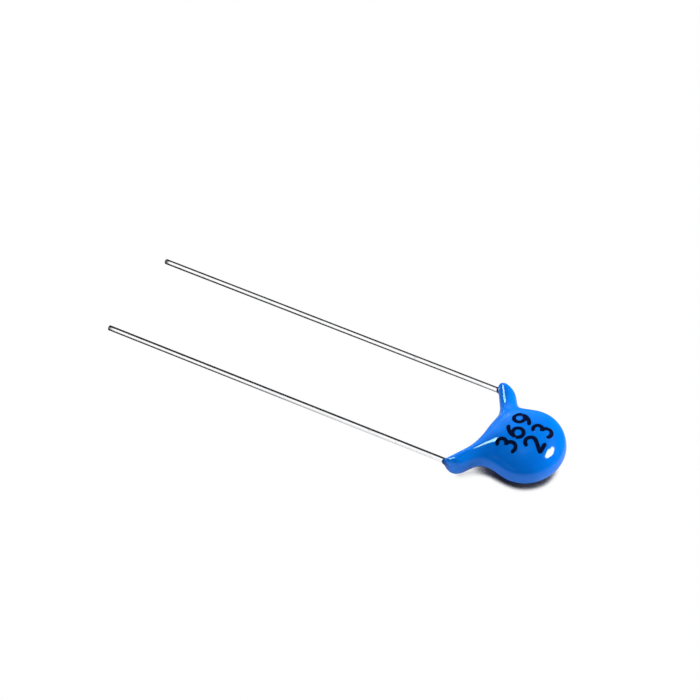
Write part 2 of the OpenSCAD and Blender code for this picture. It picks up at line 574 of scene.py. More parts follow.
class Effect(Enum):
    """Effects that several finishes share."""

    MOTTLE = "soft_mottle"
    SPECKS = "sparse_specks"
    DRAW_LINES = "draw_lines"


class Effects:
    """Builds each shared effect once, as a node group.

    NOISE_ENDS is where a noise's own values lie, and FULL_SHARE the share of a speck's size
    over which it is full.
    """

    NOISE_ENDS: Span = (0.3, 0.7)
    FULL_SHARE = 0.6

    def __init__(self) -> None:
        """Start with none built."""
        self._built: dict[Effect, bpy.types.NodeTree] = {}

    @staticmethod
    def _group(effect: Effect, inputs: dict[str, float]) -> tuple[Wiring, bpy.types.Node,
                                                                  bpy.types.Node]:
        """Make an empty group with a vector, some numbers in and a mask out.

        Args:
            effect: The effect that the group is for.
            inputs: Name and first value of each number.

        Returns:
            The group's wiring, its input node and its output node.
        """
        tree = bpy.data.node_groups.new(effect.value, "ShaderNodeTree")
        tree.interface.new_socket("Vector", in_out="INPUT", socket_type="NodeSocketVector")
        for name, value in inputs.items():
            socket = tree.interface.new_socket(name, in_out="INPUT",
                                               socket_type="NodeSocketFloat")
            socket.default_value = value
        tree.interface.new_socket("Mask", in_out="OUTPUT", socket_type="NodeSocketFloat")
        wiring = Wiring(tree)
        return wiring, wiring.node("NodeGroupInput"), wiring.node("NodeGroupOutput")

    def _mottle(self) -> bpy.types.NodeTree:
        """Build a cloudy variation: Scale is per metre, Low and High are the mask's ends.

        Returns:
            The group.
        """
        wiring, given, result = self._group(Effect.MOTTLE, {
            "Scale": 500.0, "Detail": 2.0, "Low": 0.0, "High": 1.0})
        noise = wiring.node("ShaderNodeTexNoise", {
            "Vector": given.outputs["Vector"], "Scale": given.outputs["Scale"],
            "Detail": given.outputs["Detail"]})
        mask = wiring.spread(noise.outputs[0], *self.NOISE_ENDS,
                             given.outputs["Low"], given.outputs["High"])
        wiring.feed(result.inputs["Mask"], mask)
        return wiring.tree

    def _specks(self) -> bpy.types.NodeTree:
        """Build small round marks: Size is their share of a cell, Share how many cells have one.

        Returns:
            The group.
        """
        wiring, given, result = self._group(Effect.SPECKS, {
            "Scale": 2000.0, "Size": 0.2, "Share": 0.1})
        cells = wiring.node("ShaderNodeTexVoronoi", {
            "Vector": given.outputs["Vector"], "Scale": given.outputs["Scale"]})
        size = given.outputs["Size"]
        full = wiring.sum_of("MULTIPLY", size, self.FULL_SHARE)
        round_mark = wiring.spread(cells.outputs["Distance"], full, size, 1.0, 0.0)
        pick = wiring.node("ShaderNodeSeparateColor", {"Color": cells.outputs["Color"]})
        chosen = wiring.sum_of("LESS_THAN", pick.outputs[0], given.outputs["Share"])
        wiring.feed(result.inputs["Mask"], wiring.sum_of("MULTIPLY", round_mark, chosen))
        return wiring.tree

    def _draw_lines(self) -> bpy.types.NodeTree:
        """Build fine lines along X: Scale is per metre across them, Stretch is their slimness.

        Returns:
            The group.
        """
        wiring, given, result = self._group(Effect.DRAW_LINES, {
            "Scale": 9000.0, "Stretch": 60.0})
        parts = wiring.node("ShaderNodeSeparateXYZ", {"Vector": given.outputs["Vector"]})
        slim = wiring.sum_of("DIVIDE", parts.outputs["X"], given.outputs["Stretch"])
        joined = wiring.node("ShaderNodeCombineXYZ", {
            "X": slim, "Y": parts.outputs["Y"], "Z": parts.outputs["Z"]})
        noise = wiring.node("ShaderNodeTexNoise", {
            "Vector": joined.outputs[0], "Scale": given.outputs["Scale"], "Detail": 1.0})
        wiring.feed(result.inputs["Mask"], wiring.spread(noise.outputs[0], *self.NOISE_ENDS))
        return wiring.tree

    def put(self, wiring: Wiring, effect: Effect, vector: bpy.types.NodeSocket,
            **values: float) -> bpy.types.NodeSocket:
        """Place a shared effect in a material.

        Args:
            wiring: Wiring of the material's tree.
            effect: Which effect to place.
            vector: Where on the piece it is read.
            values: The group's own inputs, by name.

        Returns:
            The socket with the effect's mask.
        """
        if effect not in self._built:
            makers = {Effect.MOTTLE: self._mottle, Effect.SPECKS: self._specks,
                      Effect.DRAW_LINES: self._draw_lines}
            self._built[effect] = makers[effect]()
        placed = wiring.node("ShaderNodeGroup", node_tree=self._built[effect])
        wiring.feed(placed.inputs["Vector"], vector)
        for name, value in values.items():
            wiring.feed(placed.inputs[name], value)
        return placed.outputs["Mask"]


@dataclass(frozen=True)
class Finish(ABC):
    """A named finish that builds one material. A depth is the height of its bumps, in mm."""

    effects: Effects

    def start(self, name: str, **sockets: object) -> tuple[bpy.types.Material, Wiring,
                                                           bpy.types.Node]:
        """Make a material with one surface shader.

        Args:
            name: The material's name.
            sockets: Values that are the same all over, by socket with _ for a space.

        Returns:
            The material, its wiring and its shader.
        """
        material = bpy.data.materials.new(name)
        material.use_nodes = True
        wiring = Wiring(material.node_tree)
        shader = next(n for n in material.node_tree.nodes if n.type == "BSDF_PRINCIPLED")
        for key, value in sockets.items():
            wiring.feed(shader.inputs[key.replace("_", " ")], value)
        return material, wiring, shader

    @staticmethod
    def surface(wiring: Wiring, shader: bpy.types.Node, colour: bpy.types.NodeSocket,
                rough: bpy.types.NodeSocket, height: bpy.types.NodeSocket,
                depth: float) -> None:
        """Give the shader what changes over the surface.

        Args:
            wiring: Wiring of the material's tree.
            shader: The shader that takes it all.
            colour: The colour.
            rough: The roughness.
            height: Mask of the bumps, where 1 is the full depth.
            depth: Height of 1, in mm.
        """
        raised = wiring.node("ShaderNodeBump", {"Height": height, "Distance": depth * MM})
        wiring.feed(shader.inputs["Base Color"], colour)
        wiring.feed(shader.inputs["Roughness"], rough)
        wiring.feed(shader.inputs["Normal"], raised.outputs[0])

    @abstractmethod
    def build(self) -> bpy.types.Material:
        """Build the material."""


@dataclass(frozen=True)
class GlossEpoxy(Finish):
    """Dipped blue epoxy: glossy and faintly uneven, with painted shade round where the wires
    leave.
    """

    body: Colour = (0.0, 0.215, 0.92)
    deep: Colour = (0.0, 0.185, 0.84)
    # Painted shade: a dark navy laid on the coating round the points where the wires leave.
    exit_shade: Colour = (0.0, 0.02, 0.12)
    speck: Colour = (0.25, 0.45, 0.95)
    exits: tuple[Point, ...] = ()
    exit_shade_span: Span = (0.25, 0.95)
    exit_shade_share: float = 0.8
    speck_share: float = 0.35
    speck_rough: float = 0.25
    speck_height: float = 0.4
    rough: Span = (0.07, 0.11)
    depth: float = 0.0015

    def _exit_shade_mask(self, wiring: Wiring) -> bpy.types.NodeSocket:
        """Build the painted shade's mask, growing towards where the wires leave the coating.

        Args:
            wiring: Wiring of the material's tree.

        Returns:
            The socket with the mask.
        """
        near, far = (end * MM for end in self.exit_shade_span)
        masks = [wiring.spread(wiring.gap_to(point), near, far, 1.0, 0.0)
                 for point in self.exits]
        return wiring.sum_of("MAXIMUM", masks[0], masks[-1])

    def build(self) -> bpy.types.Material:
        """Build the coating's material.

        Returns:
            The material.
        """
        material, wiring, shader = self.start("gloss_blue_epoxy", IOR=1.5)
        where = wiring.place()
        cloud = self.effects.put(wiring, Effect.MOTTLE, where, Scale=420.0, Detail=3.0)
        peel = self.effects.put(wiring, Effect.MOTTLE, where, Scale=1500.0, Detail=1.0)
        dust = self.effects.put(wiring, Effect.SPECKS, where, Scale=2300.0, Size=0.12,
                                Share=0.05)
        exit_shaded = wiring.sum_of("MULTIPLY", self._exit_shade_mask(wiring), self.exit_shade_share)
        dusted = wiring.sum_of("MULTIPLY", dust, self.speck_share)
        colour = wiring.mix(cloud, self.deep, self.body)
        colour = wiring.mix(dusted, colour, self.speck)
        # Painted shade: the colour darkens round the points where the wires leave.
        colour = wiring.mix(exit_shaded, colour, self.exit_shade)
        rough = wiring.sum_of("ADD", wiring.spread(cloud, 0.0, 1.0, *self.rough),
                              wiring.sum_of("MULTIPLY", dust, self.speck_rough))
        height = wiring.sum_of("ADD", peel, wiring.sum_of("MULTIPLY", dust, self.speck_height))
        self.surface(wiring, shader, colour, rough, height, self.depth)
        return material


@dataclass(frozen=True)
class TinnedWire(Finish):
    """Bright tinned wire: fine draw lines, a slightly rippled coat and a few dull spots."""

    bright: Colour = (0.90, 0.905, 0.92)
    dull: Colour = (0.66, 0.67, 0.69)
    edge: Colour = (0.25, 0.25, 0.27)
    spot_share: float = 0.8
    ripple_share: float = 0.3
    line_height: float = 0.4
    rough: Span = (0.22, 0.38)
    depth: float = 0.002

    def build(self) -> bpy.types.Material:
        """Build the leads' material.

        Returns:
            The material.
        """
        material, wiring, shader = self.start("bright_tinned_wire", Metallic=1.0,
                                              Specular_Tint=(*self.edge, 1.0))
        where = wiring.place()
        lines = self.effects.put(wiring, Effect.DRAW_LINES, where, Scale=9000.0, Stretch=70.0)
        ripple = self.effects.put(wiring, Effect.MOTTLE, where, Scale=700.0, Detail=2.0)
        spots = self.effects.put(wiring, Effect.SPECKS, where, Scale=1100.0, Size=0.3,
                                 Share=0.12)
        worn = wiring.sum_of("MAXIMUM", wiring.sum_of("MULTIPLY", spots, self.spot_share),
                             wiring.sum_of("MULTIPLY", ripple, self.ripple_share))
        colour = wiring.mix(worn, self.bright, self.dull)
        rough = wiring.spread(worn, 0.0, 1.0, *self.rough)
        height = wiring.sum_of("ADD", wiring.sum_of("MULTIPLY", lines, self.line_height), ripple)
        self.surface(wiring, shader, colour, rough, height, self.depth)
        return material


@dataclass(frozen=True)
class FiredCeramic(Finish):
    """Dense fired titanate: matt tan with fine grain and small open pores."""

    pale: Colour = (0.52, 0.38, 0.24)
    dark: Colour = (0.40, 0.27, 0.16)
    rough: Span = (0.55, 0.75)
    depth: float = 0.01

    def build(self) -> bpy.types.Material:
        """Build the ceramic's material.

        Returns:
            The material.
        """
        material, wiring, shader = self.start("fired_titanate")
        where = wiring.place()
        cloud = self.effects.put(wiring, Effect.MOTTLE, where, Scale=800.0, Detail=5.0)
        pores = self.effects.put(wiring, Effect.SPECKS, where, Scale=6000.0, Size=0.25,
                                 Share=0.3)
        colour = wiring.mix(wiring.sum_of("MAXIMUM", cloud, pores), self.pale, self.dark)
        rough = wiring.spread(cloud, 0.0, 1.0, *self.rough)
        sunk = wiring.sum_of("MULTIPLY", pores, -1.0)
        self.surface(wiring, shader, colour, rough, sunk, self.depth)
        return material


@dataclass(frozen=True)
class FiredSilver(Finish):
    """Screened and fired silver: satin, with the faint lines of the squeegee."""

    pale: Colour = (0.86, 0.85, 0.82)
    dark: Colour = (0.68, 0.67, 0.64)
    rough: Span = (0.38, 0.6)
    depth: float = 0.004

    def build(self) -> bpy.types.Material:
        """Build the electrodes' material.

        Returns:
            The material.
        """
        material, wiring, shader = self.start("fired_silver", Metallic=1.0)
        where = wiring.place()
        lines = self.effects.put(wiring, Effect.DRAW_LINES, where, Scale=5000.0, Stretch=12.0)
        cloud = self.effects.put(wiring, Effect.MOTTLE, where, Scale=1200.0, Detail=4.0)
        colour = wiring.mix(cloud, self.pale, self.dark)
        rough = wiring.spread(cloud, 0.0, 1.0, *self.rough)
        self.surface(wiring, shader, colour, rough, lines, self.depth)
        return material


@dataclass(frozen=True)
class SoftSolder(Finish):
    """Tin-lead solder: smooth grey metal with a frosted skin and flux specks."""

    bright: Colour = (0.70, 0.71, 0.73)
    frosted: Colour = (0.46, 0.47, 0.50)
    flux: Colour = (0.30, 0.20, 0.08)
    rough: Span = (0.22, 0.5)
    depth: float = 0.008

    def build(self) -> bpy.types.Material:
        """Build the solder's material.

        Returns:
            The material.
        """
        material, wiring, shader = self.start("soft_solder")
        where = wiring.place()
        cloud = self.effects.put(wiring, Effect.MOTTLE, where, Scale=1600.0, Detail=4.0)
        flux = self.effects.put(wiring, Effect.SPECKS, where, Scale=2500.0, Size=0.3,
                                Share=0.15)
        colour = wiring.mix(flux, wiring.mix(cloud, self.bright, self.frosted), self.flux)
        rough = wiring.spread(cloud, 0.0, 1.0, *self.rough)
        wiring.feed(shader.inputs["Metallic"], wiring.spread(flux, 0.0, 1.0, 1.0, 0.0))
        self.surface(wiring, shader, colour, rough, cloud, self.depth)
        return material


@dataclass(frozen=True)
class StampInk(Finish):
    """Black stamping ink: thin, matt against the epoxy, with small voids."""

    ink: Colour = (0.0015, 0.004, 0.02)
    worn: Colour = (0.003, 0.015, 0.08)
    cloud_share: float = 0.4
    rough: Span = (0.28, 0.45)
    depth: float = 0.003

    def build(self) -> bpy.types.Material:
        """Build the marking's material.

        Returns:
            The material.
        """
        material, wiring, shader = self.start("stamping_ink", IOR=1.45,
                                              Specular_IOR_Level=0.2)
        where = wiring.place()
        cloud = self.effects.put(wiring, Effect.MOTTLE, where, Scale=3800.0, Detail=3.0)
        voids = self.effects.put(wiring, Effect.SPECKS, where, Scale=9000.0, Size=0.25,
                                 Share=0.1)
        patchy = wiring.sum_of("MULTIPLY", cloud, self.cloud_share)
        colour = wiring.mix(wiring.sum_of("MAXIMUM", patchy, voids), self.ink, self.worn)
        rough = wiring.spread(cloud, 0.0, 1.0, *self.rough)
        self.surface(wiring, shader, colour, rough, cloud, self.depth)
        return material


@dataclass
class Coating:
    """The dipped epoxy body with its two drawn-down legs.

    Its skin is drawn on upright pages, which fan out round the disc and then follow each leg.
    Each row of waves gives the rise in angle per mm along X, Y and Z, and the angle at 0.
    """

    skin: Skin
    pose: RestPose
    finish: GlossEpoxy
    fan_pages: int = 44
    leg_pages: int = 72
    page_points: int = 168
    end_setback: float = 0.002
    fan_past: float = 0.2
    sag: float = 0.03
    settle_height: float = 1.0
    waves: tuple[tuple[float, float, float, float], ...] = (
        (1.3, 0.9, 0.0, 0.4), (0.0, 1.1, -1.7, 2.1), (0.8, -1.9, 1.2, 4.0))

    def _page_places(self) -> tuple[np.ndarray, np.ndarray]:
        """Set out the pages of the upper side, from the disc's middle to the leg's end.

        Returns:
            The turn of each page, and how far along the leg's middle line it stands.
        """
        angle = self.skin.wire.leg_angle
        square = math.pi / 2 - angle
        fan_run = (self.skin.disc_radius - self.skin.wire.leg_cross * math.cos(angle)
                   + self.fan_past)
        last_run = self.skin.leg_run - self.end_setback
        fan_turn = square * np.arange(self.fan_pages + 1) / self.fan_pages
        ahead = (1 - np.arange(1, self.leg_pages + 1) / self.leg_pages) ** 2
        fan = fan_run / math.cos(angle) * np.sin(fan_turn) / np.sin(angle + fan_turn)
        leg = last_run - (last_run - fan_run) * ahead
        return np.concatenate([fan_turn, square * ahead]), np.concatenate([fan, leg])

    def _pages(self) -> np.ndarray:
        """Draw the skin on upright pages, from one leg's end to the other's.

        Returns:
            Points in mm in the disc's frame, as (pages, points of a page, 3).
        """
        turn, run = self._page_places()
        angle = self.skin.wire.leg_angle
        fan_run = run[self.fan_pages]
        across = np.stack([np.cos(turn), -np.sin(turn), np.zeros_like(turn)], -1)
        seed = np.stack([-self.skin.wire.leg_cross - run * math.cos(angle),
                         -run * math.sin(angle),
                         self.skin.leg_mid * np.minimum(run / fan_run, 1)], -1)
        outward = self.skin.reach(seed, across, True)
        inward = self.skin.reach(seed, -across, True)
        centre = seed + across * ((outward - inward) / 2)[:, None]
        rise = self.skin.reach(centre, np.broadcast_to(UP, centre.shape), True)
        fall = self.skin.reach(centre, np.broadcast_to(-UP, centre.shape), True)
        middle = centre + UP * ((rise - fall) / 2)[:, None]
        step = 2 * math.pi * np.arange(self.page_points) / self.page_points
        flat = across[:, None] * np.cos(step)[None, :, None] * (outward + inward)[:, None, None]
        tall = UP * (np.sin(step)[None, :] * (rise + fall)[:, None])[..., None]
        way = (flat + tall) / np.linalg.norm(flat + tall, axis=-1, keepdims=True)
        start = np.broadcast_to(middle[:, None], way.shape)
        upper = (start + way * self.skin.reach(start, way)[..., None])[::-1]
        back = (self.page_points - np.arange(self.page_points)) % self.page_points
        lower = upper[-2::-1][:, back] * HALF_TURN
        return np.concatenate([upper, lower])

    def _uneven(self, points: np.ndarray) -> np.ndarray:
        """Let the skin sink a little here and there, as a dipped coat does.

        Args:
            points: Points on the skin, in mm in the disc's frame.

        Returns:
            The points, moved inwards by up to sag.
        """
        waves = np.array(self.waves)
        share = (1 + np.sin(points @ waves[:, :3].T + waves[:, 3]).mean(-1)) / 2
        height = self.pose.place(points)[..., 2] / MM
        sink = self.sag * share * ease(height / self.settle_height)
        return points - self.skin.normals(points) * sink[..., None]

    def build(self) -> bpy.types.Object:
        """Build the coating in place of its solid.

        Returns:
            The new piece.
        """
        points = self.pose.place(self._uneven(self._pages()))
        made = loft("dipped_coating", keep_in_box(points))
        made.data.materials.append(self.finish.build())
        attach(made, "root")
        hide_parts("epoxy_coating")
        return made


class Side(Enum):
    """Which of the two leads a piece belongs to."""

    UPPER = "upper"
    LOWER = "lower"


@dataclass
class Lead:
    """One lead wire: a straight bare length, a bend inside the leg and a run to the solder."""

    wire: Wire
    skin: Skin
    pose: RestPose
    side: Side
    finish: bpy.types.Material
    around: int = 40
    bend_steps: int = 20
    straight_steps: int = 48

    def _line(self) -> tuple[np.ndarray, np.ndarray]:
        """Follow the middle line from tip to end, for the upper lead.

        Returns:
            The points in mm, and the heading at each.
        """
        w = self.wire
        tip_x = self.skin.exit_x - w.bare_length
        xs = np.concatenate([[tip_x], np.linspace(tip_x + w.tip_bevel, w.bend_x,
                                                  self.straight_steps)])
        turn = np.linspace(0, w.leg_angle, self.bend_steps + 1)[1:]
        arc = np.stack([w.bend_x + w.bend * np.sin(turn),
                        w.bend - w.side - w.bend * np.cos(turn)], -1)
        run = np.array([math.cos(w.leg_angle), math.sin(w.leg_angle)]) * w.inner_run
        flat = np.concatenate([np.stack([xs, np.full_like(xs, -w.side)], -1), arc,
                               [arc[-1] + run]])
        heading = np.concatenate([np.zeros_like(xs), turn, [w.leg_angle]])
        line = np.concatenate([flat, np.full((len(flat), 1), w.lift)], -1)
        return line, heading

    def build(self) -> bpy.types.Object:
        """Build the lead in place of its solid.

        Returns:
            The new piece.
        """
        line, heading = self._line()
        radius = np.full(len(line), self.wire.radius)
        radius[0] = self.wire.radius - self.wire.tip_bevel
        step = 2 * math.pi * np.arange(self.around) / self.around
        outward = np.stack([np.sin(heading), -np.cos(heading), np.zeros_like(heading)], -1)
        ring = (outward[:, None] * np.cos(step)[None, :, None]
                + UP * np.sin(step)[None, :, None])
        points = line[:, None] + ring * radius[:, None, None]
        if self.side is Side.LOWER:
            points = points * HALF_TURN
        made = loft(f"{self.side.value}_lead_wire", keep_in_box(self.pose.place(points)),
                    sharp_ends=True)
        made.data.materials.append(self.finish)
        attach(made, "root")
        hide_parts(f"{self.side.value}_lead")
        return made


class Digit:
    """Plain numerals as pen strokes in a box one unit high.

    The bowl is the round part of 2, 6 and 9, and the spine the long curve of 6 and 9.
    """

    WIDTH = 0.62
    BOWL = 0.29
    SPINE = 0.71

    @staticmethod
    def arc(centre: Flat, radius: float, start: float, end: float,
            steps: int = 28) -> list[Flat]:
        """Points on an arc.

        Args:
            centre: Middle of the arc.
            radius: Its radius.
            start: Angle at its start, in degrees.
            end: Angle at its end, in degrees.
            steps: Number of points less one.

        Returns:
            The points in order.
        """
        angles = np.radians(np.linspace(start, end, steps + 1))
        return [(centre[0] + radius * math.cos(a), centre[1] + radius * math.sin(a))
                for a in angles]

    @classmethod
    def strokes(cls, numeral: str) -> list[list[Flat]]:
        """Strokes of one numeral.

        Args:
            numeral: One of the numerals drawn here.

        Returns:
            One list of points for each stroke.
        """
        half = cls.WIDTH / 2
        six = [cls.arc((half, cls.BOWL), cls.BOWL, 180, -180, 40),
               cls.arc((half + cls.SPINE - cls.BOWL, cls.BOWL), cls.SPINE, 180, 106)]
        drawn = {
            "2": [cls.arc((half, 0.70), cls.BOWL, 170, -38) + [(0.02, 0.0), (cls.WIDTH, 0.0)]],
            "3": [cls.arc((half - 0.02, 0.76), 0.24, 150, -90)
                  + cls.arc((half - 0.02, 0.26), 0.27, 90, -150)],
            "6": six,
            "9": [[(cls.WIDTH - x, 1.0 - y) for x, y in stroke] for stroke in six],
        }
        return drawn[numeral]


@dataclass
class Marking:
    """Plain numbers stamped on the upper face in two rows, their tops towards the leads."""

    skin: Skin
    pose: RestPose
    finish: StampInk
    rows: tuple[str, ...] = ("369", "23")
    row_x: tuple[float, ...] = (-0.92, 1.26)
    row_y: tuple[float, ...] = (-0.06, 0.36)
    advance: float = 1.56
    height: float = 1.72
    width: float = 1.08
    pen: float = 0.37
    film: float = 0.012
    sunk: float = 0.03
    spacing: float = 0.05
    least_steps: int = 8
    end_reach: float = 0.98
    across: int = 6

    def _resample(self, stroke: np.ndarray) -> tuple[np.ndarray, np.ndarray]:
        """Space a stroke's points evenly.

        Args:
            stroke: Points of the stroke, in mm.

        Returns:
            The new points, and how far each is from the nearer end.
        """
        lengths = np.concatenate([[0], np.cumsum(np.hypot(*np.diff(stroke, axis=0).T))])
        count = max(int(lengths[-1] / self.spacing), self.least_steps)
        walk = np.linspace(0, lengths[-1], count + 1)
        points = np.stack([np.interp(walk, lengths, stroke[:, k]) for k in (0, 1)], -1)
        return points, np.minimum(walk, lengths[-1] - walk)

    def _ribbon(self, stroke: np.ndarray) -> np.ndarray:
        """Lay one stroke on the skin as a thin closed ribbon.

        Args:
            stroke: Points of the stroke, in mm, seen along Z.

        Returns:
            Rings of points in metres.
        """
        points, from_end = self._resample(stroke)
        heading = np.gradient(points, axis=0)
        heading /= np.linalg.norm(heading, axis=1, keepdims=True)
        left = np.stack([-heading[:, 1], heading[:, 0]], -1)
        half = self.pen / 2
        short = np.clip(1 - from_end / half, 0, self.end_reach)
        wide = half * np.sqrt(1 - short ** 2)
        share = np.linspace(-1, 1, self.across + 1)
        lateral = np.concatenate([share, share[-2:0:-1]])
        over = np.concatenate([np.ones_like(share), np.zeros(self.across - 1)])
        dome = np.sqrt(np.maximum(1 - lateral ** 2, 0))
        lift = over * dome * self.film - (1 - over) * dome * self.sunk
        plan = points[:, None] + left[:, None] * (lateral[None] * wide[:, None])[..., None]
        base = np.concatenate([plan, np.zeros((*plan.shape[:2], 1))], -1)
        up = np.broadcast_to(UP, base.shape)
        on_skin = base + up * self.skin.reach(base, up)[..., None]
        proud = on_skin + self.skin.normals(on_skin) * lift[None, :, None]
        return keep_in_box(self.pose.place(proud))

    def _glyph(self, numeral: str, x: float, y: float) -> list[np.ndarray]:
        """Set one numeral's strokes round a centre, with its top towards the leads.

        Args:
            numeral: The numeral.
            x: The centre's place along the leads, in mm.
            y: The centre's place across them, in mm.

        Returns:
            Points in mm for each stroke.
        """
        placed = []
        for stroke in Digit.strokes(numeral):
            u, v = np.array(stroke).T
            placed.append(np.stack([x - (v - 0.5) * self.height,
                                    y + (u / Digit.WIDTH - 0.5) * self.width], -1))
        return placed

    def build(self) -> list[bpy.types.Object]:
        """Stamp every numeral.

        Returns:
            The new pieces, one for each stroke.
        """
        material = self.finish.build()
        made = []
        for row, text in enumerate(self.rows):
            for place, numeral in enumerate(text):
                y = self.row_y[row] + (place - (len(text) - 1) / 2) * self.advance
                for part, stroke in enumerate(self._glyph(numeral, self.row_x[row], y)):
                    piece = loft(f"stamp_{row}_{place}_{part}", self._ribbon(stroke))
                    piece.data.materials.append(material)
                    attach(piece, "root")
                    made.append(piece)
        return made


@dataclass
class HeldCore:
    """The pieces sealed inside, which keep their CAD meshes and get their own finishes."""

    ceramic: FiredCeramic
    silver: FiredSilver
    solder: SoftSolder

    def dress(self) -> list[bpy.types.Object]:
        """Give each inner piece its material.

        Returns:
            The pieces, in order of name.
        """
        finishes = {"ceramic_disc": self.ceramic.build()}
        silver, solder = self.silver.build(), self.solder.build()
        for side in Side:
            finishes[f"{side.value}_electrode"] = silver
            finishes[f"{side.value}_solder"] = solder
        pieces = {name: frame["nodes"][name] for name in sorted(finishes)}
        for name, piece in pieces.items():
            if not piece.data.materials:
                piece.data.materials.append(finishes[name])
            for slot in piece.material_slots:
                slot.material = finishes[name]
        return list(pieces.values())


class Job(Enum):
    """What a lamp is hung for."""

    LIGHT = "light"
    GLINT = "glint"


@dataclass(frozen=True)
class Softbox:
    """A round soft lamp: where it stands as seen from the part, its half angle and strength.

    The azimuth runs from the row's +Y towards +X, in degrees. The strength of a light is what
    it gives to a white surface that faces it, and that of a glint is how bright its face is.
    """

    job: Job
    name: str
    azimuth: float
    elevation: float
    half_angle: float
    strength: float
    tint: Colour = WHITE

    def radius(self, distance: float) -> float:
        """Radius of its face, in metres, at a distance."""
        return distance * math.tan(math.radians(self.half_angle))

    def power(self, distance: float) -> float:
        """Work out the power that gives the lamp its strength.

        Args:
            distance: How far off it stands, in metres.

        Returns:
            The power in watts.
        """
        spread = distance if self.job is Job.LIGHT else self.radius(distance)
        return self.strength * (math.pi * spread) ** 2

    @property
    def direction(self) -> Vector:
        """Unit direction from the part to the lamp.

        Returns:
            The direction.
        """
        turn, rise = math.radians(self.azimuth), math.radians(self.elevation)
        flat = math.cos(rise)
        return Vector((math.sin(turn) * flat, math.cos(turn) * flat, math.sin(rise)))


class Seen(Enum):
    """Which pieces mirror a card; the others don't see it."""

    LOWER_LEAD = "lower_lead_wire"
    UPPER_LEAD = "upper_lead_wire"
    COATING = "dipped_coating"


@dataclass(frozen=True)
class Card:
    """A glowing card that one piece mirrors: pairs of points across it, in metres.

    A card along the leads fades with its x. A card with a reach fades with reach / distance
    from the part. Either goes from the far end of its fade, where it is gone, to the near one.
    """

    name: str
    seen: Seen
    pairs: tuple[tuple[Point, Point], ...]
    level: float
    fade: Span
    reach: float = 0.0

    @classmethod
    def along(cls, name: str, seen: Seen, edge: list[Flat], level: float,
              fade: Span = FULL_ALL_ALONG, span: Span = WHOLE_LENGTH) -> "Card":
        """Bend a card along the leads.

        Args:
            name: The card's name.
            seen: The piece that mirrors it.
            edge: Its bent edge, as y and z in mm.
            level: How bright it is.
            fade: The x, in mm, where it is gone and where it is full.
            span: The x, in mm, of its two ends.

        Returns:
            The card.
        """
        pairs = tuple(tuple((x * MM, y * MM, z * MM) for x in span) for y, z in edge)
        return cls(name, seen, pairs, level, (fade[0] * MM, fade[1] * MM))

    @classmethod
    def facing(cls, name: str, seen: Seen, way: Vector, level: float, fade: Span,
               reach: float = 0.25) -> "Card":
        """Stand a wide card square to a direction.

        Args:
            name: The card's name.
            seen: The piece that mirrors it.
            way: Unit direction from the part to the card's middle.
            level: How bright its middle is.
            fade: Cosine from that direction where it is gone and where it is full.
            reach: Distance of its middle, in metres.

        Returns:
            The card.
        """
        across = way.cross(Vector(UP)).normalized() * 2 * reach
        up = across.cross(way).normalized() * 2 * reach
        middle = way * reach
        pairs = tuple((tuple(middle - across + up * k), tuple(middle + across + up * k))
                      for k in (-1, 1))
        return cls(name, seen, pairs, level, fade, reach)

    def _glow(self) -> bpy.types.Material:
        """Build the card's material, which adds its light and hides nothing behind it.

        Returns:
            The material.
        """
        material, wiring = stage_material(self.name)
        if self.reach:
            place = wiring.sum_of("DIVIDE", self.reach, wiring.gap_to(BODY_FOOT))
        else:
            parts = wiring.node("ShaderNodeSeparateXYZ", {"Vector": wiring.place()})
            place = parts.outputs["X"]
        strength = wiring.spread(place, *self.fade, 0.0, self.level)
        glow = wiring.node("ShaderNodeEmission", {"Strength": strength})
        joined = wiring.node("ShaderNodeAddShader")
        wiring.feed(joined.inputs[0], glow.outputs[0])
        wiring.feed(joined.inputs[1], wiring.node("ShaderNodeBsdfTransparent").outputs[0])
        wiring.show(joined)
        return material

    def build(self) -> bpy.types.Object:
        """Hang the card, for mirrors alone.

        Returns:
            The card's object.
        """
        points = [point for pair in self.pairs for point in pair]
        faces = [(2 * k, 2 * k + 1, 2 * k + 3, 2 * k + 2) for k in range(len(self.pairs) - 1)]
        mesh = bpy.data.meshes.new(self.name)
        mesh.from_pydata(points, [], faces)
        mesh.materials.append(self._glow())
        hung = add_object(self.name, mesh)
        hung.visible_camera = False
        hung.visible_diffuse = False
        hung.visible_shadow = False
        hung.visible_transmission = False
        return hung


def tube(reach: float, first: int, last: int, step: int = 5) -> list[Flat]:
    """Set out the bent edge of a card that curves round the leads.

    Args:
        reach: How far off it stands, in mm, below zero on the upper lead's side.
        first: Height angle of its lower end, in degrees.
        last: Height angle of its upper end, in degrees.
        step: Height angle between its points, in degrees.

    Returns:
        The y and z of its points, in mm.
    """
    turns = [math.radians(turn) for turn in range(first, last + 1, step)]
    return [(reach * math.cos(turn), LEAD_HEIGHT + abs(reach) * math.sin(turn))
            for turn in turns]


